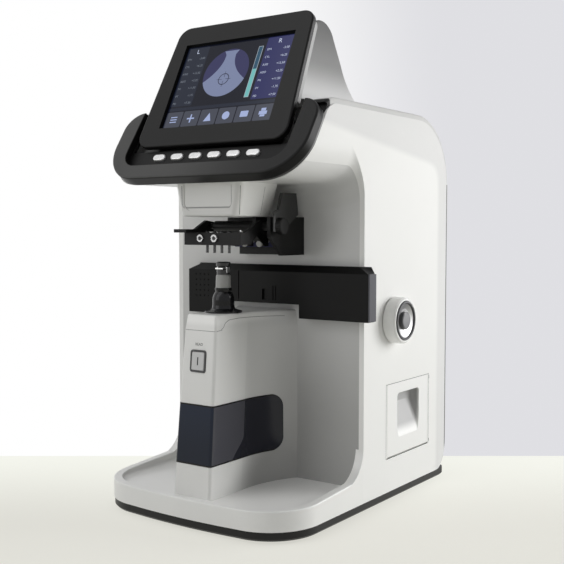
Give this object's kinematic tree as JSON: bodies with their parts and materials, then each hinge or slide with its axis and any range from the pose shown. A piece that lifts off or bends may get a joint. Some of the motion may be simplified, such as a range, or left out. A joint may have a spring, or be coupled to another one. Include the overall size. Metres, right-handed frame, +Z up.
{
  "type": "auto lensmeter",
  "caption": "Desk-top automatic lensmeter: tilted touch display over a slope with keys, lens rest on a tower, sliding frame table, marker, press and side printer.",
  "frame": {"origin": "on the optical axis, at the underside of the base pan, between the rubber feet", "axes": "+Z up; -Y towards the user; +X to the user's right, where the knob and the printer door are"},
  "size_m": [0.2302, 0.3003, 0.4444],
  "materials": {
    "case_white": "moulded, satin white",
    "band_silver": "silver-grey coat",
    "black_gloss": "black, satin gloss",
    "silver_grey": "silver-grey, glossy coat",
    "black": "black, fine grain",
    "dark_grey": "dark grey",
    "slate": "slate grey, satin",
    "smoked": "smoked blue, glossy",
    "screen": "bonded screen",
    "key_cap": "silver-white caps",
    "steel": "turned",
    "chassis": "folded sheet",
    "zinc": "zinc-plated",
    "silver": "spun, bright",
    "rubber": "soft",
    "board_green": "coated board",
    "lens_glass": "polished",
    "felt": "inked felt",
    "paper": "thermal paper"
  },
  "bodies": {
    "case": {"base_pan": "black", "case_screws": "zinc", "rubber_feet": "rubber", "base_cover": "case_white", "right_side_panel": "case_white", "left_side_panel": "case_white", "column_front_cover": "case_white", "top_cover": "band_silver", "rear_cover": "dark_grey", "port_plate": "zinc", "console_frame": "black_gloss", "key_board": "board_green", "display_pedestal": "silver_grey", "tower_shell": "case_white", "tower_window": "smoked", "tower_cap": "case_white", "read_button_ring": "dark_grey", "nose_housing": "case_white", "protective_glass": "lens_glass", "mechanism_housing": "black", "ink_pad": "felt", "chassis_frame": "chassis", "guide_bushes": "steel", "main_board": "board_green", "power_supply": "zinc", "light_module": "black", "sensor_module": "black", "printer_frame": "dark_grey", "power_inlet": "black"},
    "display": {"display_bezel": "black_gloss", "touch_screen": "screen", "display_back": "silver_grey"},
    "read_key": {"read_button": "key_cap"},
    "nosepiece": {"nosepiece_base": "black", "nosepiece_tip": "dark_grey"},
    "table": {"lens_table": "black", "table_end_cap": "slate", "guide_rods": "steel", "table_rack": "steel"},
    "knob": {"knob_rim": "case_white", "knob_ring": "dark_grey", "knob_dish": "silver", "knob_cap": "dark_grey", "knob_shaft": "steel"},
    "press": {"press_frame": "black", "press_pins": "silver", "press_lever": "dark_grey"},
    "marker": {"marker_carrier": "black", "marker_pens": "silver", "marker_shaft": "steel"},
    "door": {"printer_door": "case_white"},
    "roll": {"paper_roll": "paper"},
    "platen": {"platen_roller": "rubber"},
    "rocker": {"power_rocker": "black"},
    "menu_key_1": {"menu_button_1": "key_cap"},
    "menu_key_2": {"menu_button_2": "key_cap"},
    "menu_key_3": {"menu_button_3": "key_cap"},
    "menu_key_4": {"menu_button_4": "key_cap"},
    "menu_key_5": {"menu_button_5": "key_cap"},
    "menu_key_6": {"menu_button_6": "key_cap"}
  },
  "joints": [
    {"name": "display_tilt", "type": "hinge", "parent": "case", "child": "display", "pos_m": [0, 0.01485, 0.3684], "axis": [1, 0, 0], "range_deg": [0, 7]},
    {"name": "read_key_press", "type": "slide", "parent": "case", "child": "read_key", "axis": [0, 0.9959, -0.0902], "range_m": [0, 0.0015], "stiffness_N_per_m": 500, "springref_m": -0.0008},
    {"name": "nosepiece_lift", "type": "slide", "parent": "case", "child": "nosepiece", "axis": [0, 0, 1], "range_m": [0, 0.004]},
    {"name": "knob_turn", "type": "hinge", "parent": "case", "child": "knob", "pos_m": [0.1, 0.1165, 0.169], "axis": [1, 0, 0], "range_deg": [0, 143.24]},
    {"name": "table_slide", "type": "slide", "parent": "case", "child": "table", "axis": [0, -1, 0], "range_m": [0, 0.03]},
    {"name": "press_swing", "type": "hinge", "parent": "case", "child": "press", "pos_m": [0, 0.018, 0.2555], "axis": [1, 0, 0], "range_deg": [-12, 7]},
    {"name": "marker_swing", "type": "hinge", "parent": "case", "child": "marker", "pos_m": [0, 0.018, 0.2555], "axis": [-1, 0, 0], "range_deg": [0, 100]},
    {"name": "door_hinge", "type": "hinge", "parent": "case", "child": "door", "pos_m": [0.106, 0.1473, 0.0421], "axis": [0, 1, 0], "range_deg": [0, 88]},
    {"name": "roll_turn", "type": "hinge", "parent": "case", "child": "roll", "pos_m": [0.07, 0.1473, 0.074], "axis": [0, 1, 0], "continuous": true},
    {"name": "platen_turn", "type": "hinge", "parent": "case", "child": "platen", "pos_m": [0.086, 0.1473, 0.099], "axis": [0, 1, 0], "continuous": true},
    {"name": "rocker_tip", "type": "hinge", "parent": "case", "child": "rocker", "pos_m": [-0.022, 0.2285, 0.05], "axis": [1, 0, 0], "range_deg": [0, 16]},
    {"name": "menu_key_1_press", "type": "slide", "parent": "case", "child": "menu_key_1", "axis": [0, 0.8387, -0.5446], "range_m": [0, 0.001], "stiffness_N_per_m": 400, "springref_m": -0.0008},
    {"name": "menu_key_2_press", "type": "slide", "parent": "case", "child": "menu_key_2", "axis": [0, 0.8387, -0.5446], "range_m": [0, 0.001], "stiffness_N_per_m": 400, "springref_m": -0.0008},
    {"name": "menu_key_3_press", "type": "slide", "parent": "case", "child": "menu_key_3", "axis": [0, 0.8387, -0.5446], "range_m": [0, 0.001], "stiffness_N_per_m": 400, "springref_m": -0.0008},
    {"name": "menu_key_4_press", "type": "slide", "parent": "case", "child": "menu_key_4", "axis": [0, 0.8387, -0.5446], "range_m": [0, 0.001], "stiffness_N_per_m": 400, "springref_m": -0.0008},
    {"name": "menu_key_5_press", "type": "slide", "parent": "case", "child": "menu_key_5", "axis": [0, 0.8387, -0.5446], "range_m": [0, 0.001], "stiffness_N_per_m": 400, "springref_m": -0.0008},
    {"name": "menu_key_6_press", "type": "slide", "parent": "case", "child": "menu_key_6", "axis": [0, 0.8387, -0.5446], "range_m": [0, 0.001], "stiffness_N_per_m": 400, "springref_m": -0.0008}
  ],
  "couplings": [
    {"joint": "knob_turn", "follows": "table_slide", "rad_per_m": 83.333}
  ]
}
